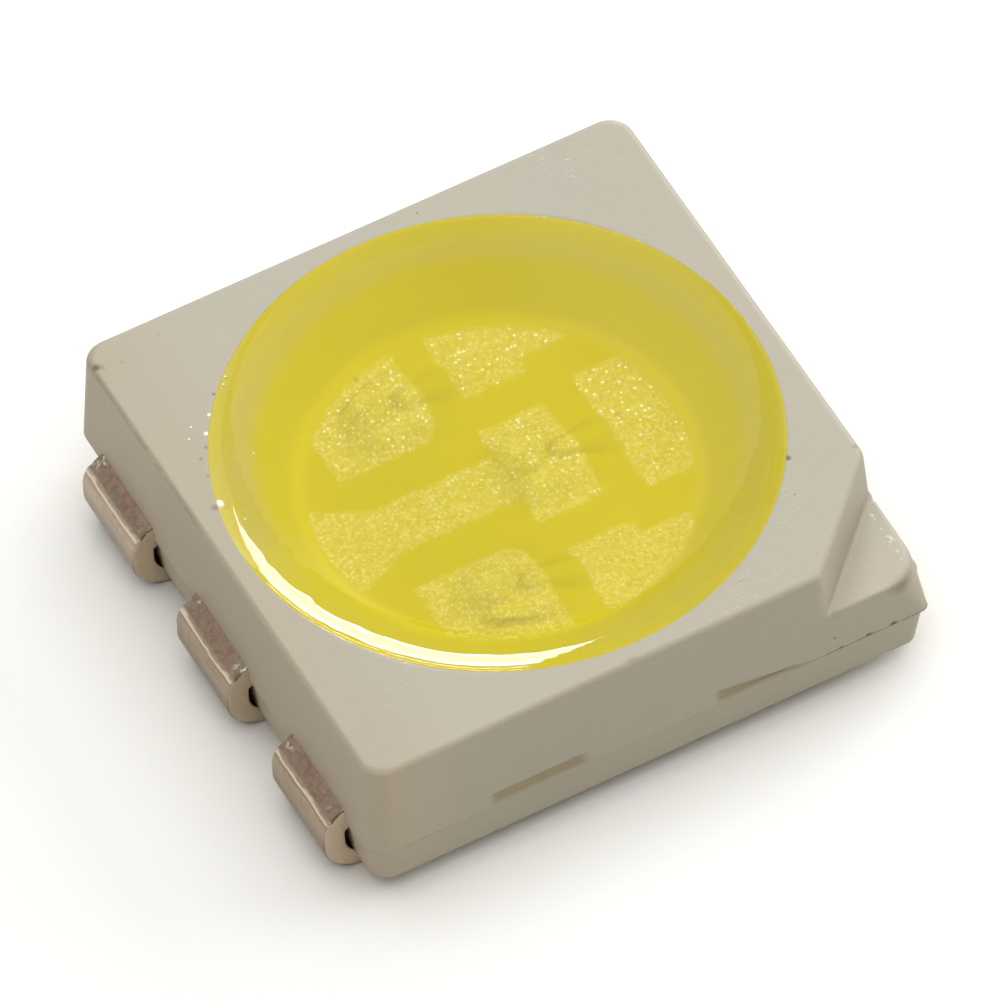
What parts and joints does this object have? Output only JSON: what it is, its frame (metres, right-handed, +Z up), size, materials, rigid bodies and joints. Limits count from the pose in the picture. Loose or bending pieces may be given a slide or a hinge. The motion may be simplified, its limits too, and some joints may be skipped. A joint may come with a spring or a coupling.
{
  "type": "smd led",
  "caption": "Square surface-mount LED: white moulded body with a round cup of yellow silicone, a cut corner and J-bent solder terminals on two sides.",
  "frame": {"origin": "on the solder plane, under the middle of the body", "axes": "+Z up from the board, X from one row of terminals to the other, cut corner at +X and -Y"},
  "size_m": [0.0054, 0.005, 0.0016],
  "materials": {
    "housing": "moulded white polyphthalamide, satin, slightly yellowed",
    "encapsulant": "phosphor-filled silicone, glossy",
    "lead": "silver-plated copper, dull, with copper showing at the bends",
    "chip": "gallium nitride on sapphire",
    "adhesive": "clear die adhesive",
    "wire": "gold wire"
  },
  "bodies": {
    "root": {"housing": "housing", "encapsulant": "encapsulant", "lead_1": "lead", "lead_2": "lead", "lead_3": "lead", "lead_4": "lead", "lead_5": "lead", "lead_6": "lead", "led_chip_1": "chip", "led_chip_2": "chip", "led_chip_3": "chip", "die_attach_1": "adhesive", "die_attach_2": "adhesive", "die_attach_3": "adhesive", "bond_wire_1a": "wire", "bond_wire_1b": "wire", "bond_wire_2a": "wire", "bond_wire_2b": "wire", "bond_wire_3a": "wire", "bond_wire_3b": "wire"}
  },
  "joints": []
}
